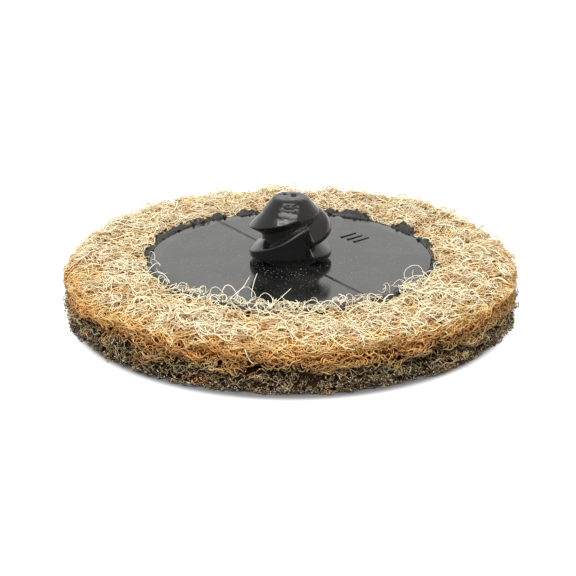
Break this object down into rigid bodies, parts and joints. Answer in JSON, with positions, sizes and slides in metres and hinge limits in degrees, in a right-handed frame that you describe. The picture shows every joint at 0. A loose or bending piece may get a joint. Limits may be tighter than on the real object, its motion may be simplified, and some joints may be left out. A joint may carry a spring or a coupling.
{
  "type": "surface conditioning disc",
  "caption": "Round fibre web disc for surface conditioning, with a black moulded button and a coarse screw-on thread in the middle of its back.",
  "frame": {"origin": "middle of the flat abrasive face that the disc lies on", "axes": "+Z along the disc's axis, out of the back through the threaded stud"},
  "size_m": [0.0508, 0.0508, 0.0135],
  "materials": {
    "black_nylon": "as moulded, glossy black",
    "tan_fibre": "matted curly fibres, cream to gold",
    "gritty_fibre": "resin-bonded fibres with grit, dark olive"
  },
  "bodies": {
    "root": {"threaded_button": "black_nylon", "backing_web": "tan_fibre", "abrasive_web": "gritty_fibre"}
  },
  "joints": []
}
